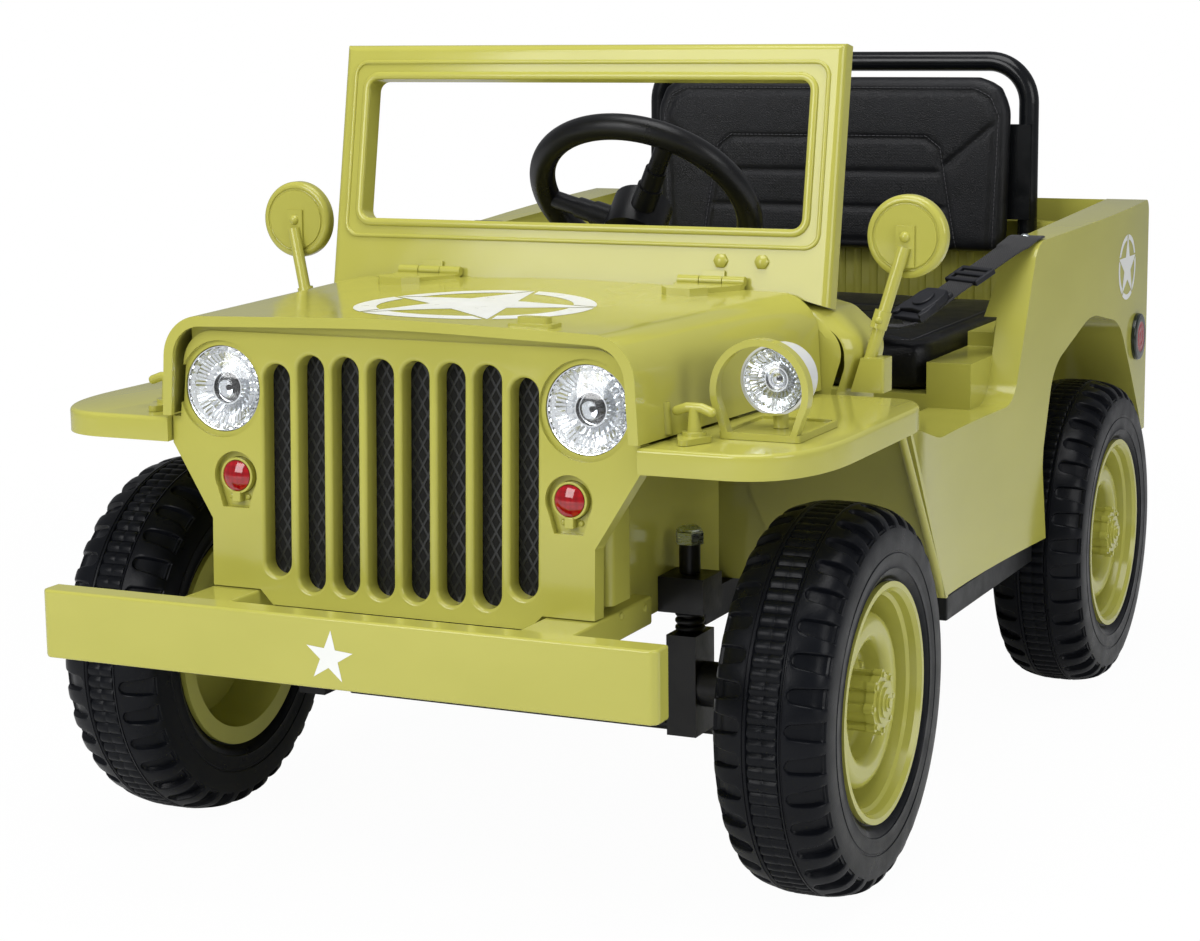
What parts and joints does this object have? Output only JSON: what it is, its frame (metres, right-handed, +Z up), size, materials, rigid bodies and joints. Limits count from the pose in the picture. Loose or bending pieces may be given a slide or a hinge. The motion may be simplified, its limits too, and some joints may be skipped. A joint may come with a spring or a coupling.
{
  "type": "ride-on 4x4 field car",
  "caption": "Child's ride-on 4x4 field car in khaki green, with a fold-up bonnet, steered front wheels, an upright windshield frame, a bench seat and a roll hoop.",
  "frame": {"origin": "on the floor, at the centre of the overall box seen from above", "axes": "+X to the car's left, +Y to its rear (the front faces -Y), +Z up"},
  "size_m": [0.5958, 1.02, 0.575],
  "materials": {
    "black_plastic": "black moulded plastic, fine grain",
    "green_plastic": "moulded khaki green plastic, glossy",
    "black_steel": "black powder coat on steel",
    "bright_steel": "zinc plated bar and wire",
    "pale_lamp": "pale translucent plastic",
    "clear_lens": "clear plastic lens",
    "reflector": "bright plated reflector",
    "red_lens": "red prismatic reflector",
    "rim_green": "moulded khaki green wheel plastic, glossy",
    "black_tube": "black glossy tube",
    "seat_leather": "black synthetic leather",
    "belt_webbing": "black woven webbing",
    "sill_rubber": "black rubber",
    "tyre_rubber": "black soft rubber tyre"
  },
  "bodies": {
    "car_body": {"battery": "black_plastic", "belt_buckle": "black_plastic", "bumper": "green_plastic", "chassis_frame": "black_steel", "coil_springs": "bright_steel", "cowl": "green_plastic", "dashboard": "black_plastic", "engine_bay": "green_plastic", "fender_lamp": "pale_lamp", "fender_lamp_lens": "clear_lens", "fender_left": "green_plastic", "fender_right": "green_plastic", "front_axle_beam": "black_steel", "gearboxes": "black_plastic", "grille_mesh": "black_plastic", "grille_panel": "green_plastic", "headlamp_lenses": "clear_lens", "headlamps": "reflector", "hood_hinge_mounts": "green_plastic", "hood_hooks": "green_plastic", "lamp_guard": "green_plastic", "marker_bezels": "green_plastic", "marker_lamps": "red_lens", "mirror_left": "green_plastic", "mirror_right": "green_plastic", "rear_axle": "bright_steel", "roll_hoop": "black_tube", "seat_back": "seat_leather", "seat_belt": "belt_webbing", "seat_cushion": "seat_leather", "side_reflectors": "red_lens", "sills": "sill_rubber", "tub": "green_plastic", "windshield_frame": "green_plastic"},
    "hood": {"hood": "green_plastic"},
    "steering": {"steering_wheel": "black_plastic"},
    "tie_rod": {"tie_rod": "black_steel"},
    "knuckle_left": {"knuckle_left": "black_steel"},
    "knuckle_right": {"knuckle_right": "black_steel"},
    "wheel_front_left": {"rim_front_left": "rim_green", "tyre_front_left": "tyre_rubber"},
    "wheel_front_right": {"rim_front_right": "rim_green", "tyre_front_right": "tyre_rubber"},
    "wheel_rear_left": {"rim_rear_left": "rim_green", "tyre_rear_left": "tyre_rubber"},
    "wheel_rear_right": {"rim_rear_right": "rim_green", "tyre_rear_right": "tyre_rubber"}
  },
  "joints": [
    {"name": "hood_hinge", "type": "hinge", "parent": "car_body", "child": "hood", "pos_m": [0, -0.1545, 0.405], "axis": [-1, 0, 0], "range_deg": [0, 60]},
    {"name": "steering", "type": "hinge", "parent": "car_body", "child": "steering", "pos_m": [0, -0.01, 0.451], "axis": [0, 0.7071, 0.7071], "range_deg": [-36, 36]},
    {"name": "kingpin_left", "type": "hinge", "parent": "car_body", "child": "knuckle_left", "pos_m": [0.15, -0.275, 0.135], "axis": [0, 0, 1], "range_deg": [-20.2, 20.2]},
    {"name": "kingpin_right", "type": "hinge", "parent": "car_body", "child": "knuckle_right", "pos_m": [-0.15, -0.275, 0.135], "axis": [0, 0, 1], "range_deg": [-20.2, 20.2]},
    {"name": "tie_rod_slide", "type": "slide", "parent": "car_body", "child": "tie_rod", "axis": [-1, 0, 0], "range_m": [-0.0152, 0.0152]},
    {"name": "wheel_front_left_spin", "type": "hinge", "parent": "knuckle_left", "child": "wheel_front_left", "pos_m": [0.256, -0.275, 0.135], "axis": [1, 0, 0], "continuous": true},
    {"name": "wheel_front_right_spin", "type": "hinge", "parent": "knuckle_right", "child": "wheel_front_right", "pos_m": [-0.256, -0.275, 0.135], "axis": [1, 0, 0], "continuous": true},
    {"name": "wheel_rear_left_spin", "type": "hinge", "parent": "car_body", "child": "wheel_rear_left", "pos_m": [0.256, 0.352, 0.135], "axis": [1, 0, 0], "continuous": true},
    {"name": "wheel_rear_right_spin", "type": "hinge", "parent": "car_body", "child": "wheel_rear_right", "pos_m": [-0.256, 0.352, 0.135], "axis": [1, 0, 0], "continuous": true}
  ],
  "couplings": [
    {"joint": "kingpin_left", "follows": "steering", "ratio": 0.5556},
    {"joint": "kingpin_right", "follows": "steering", "ratio": 0.5556},
    {"joint": "tie_rod_slide", "follows": "steering", "m_per_rad": 0.02286}
  ]
}
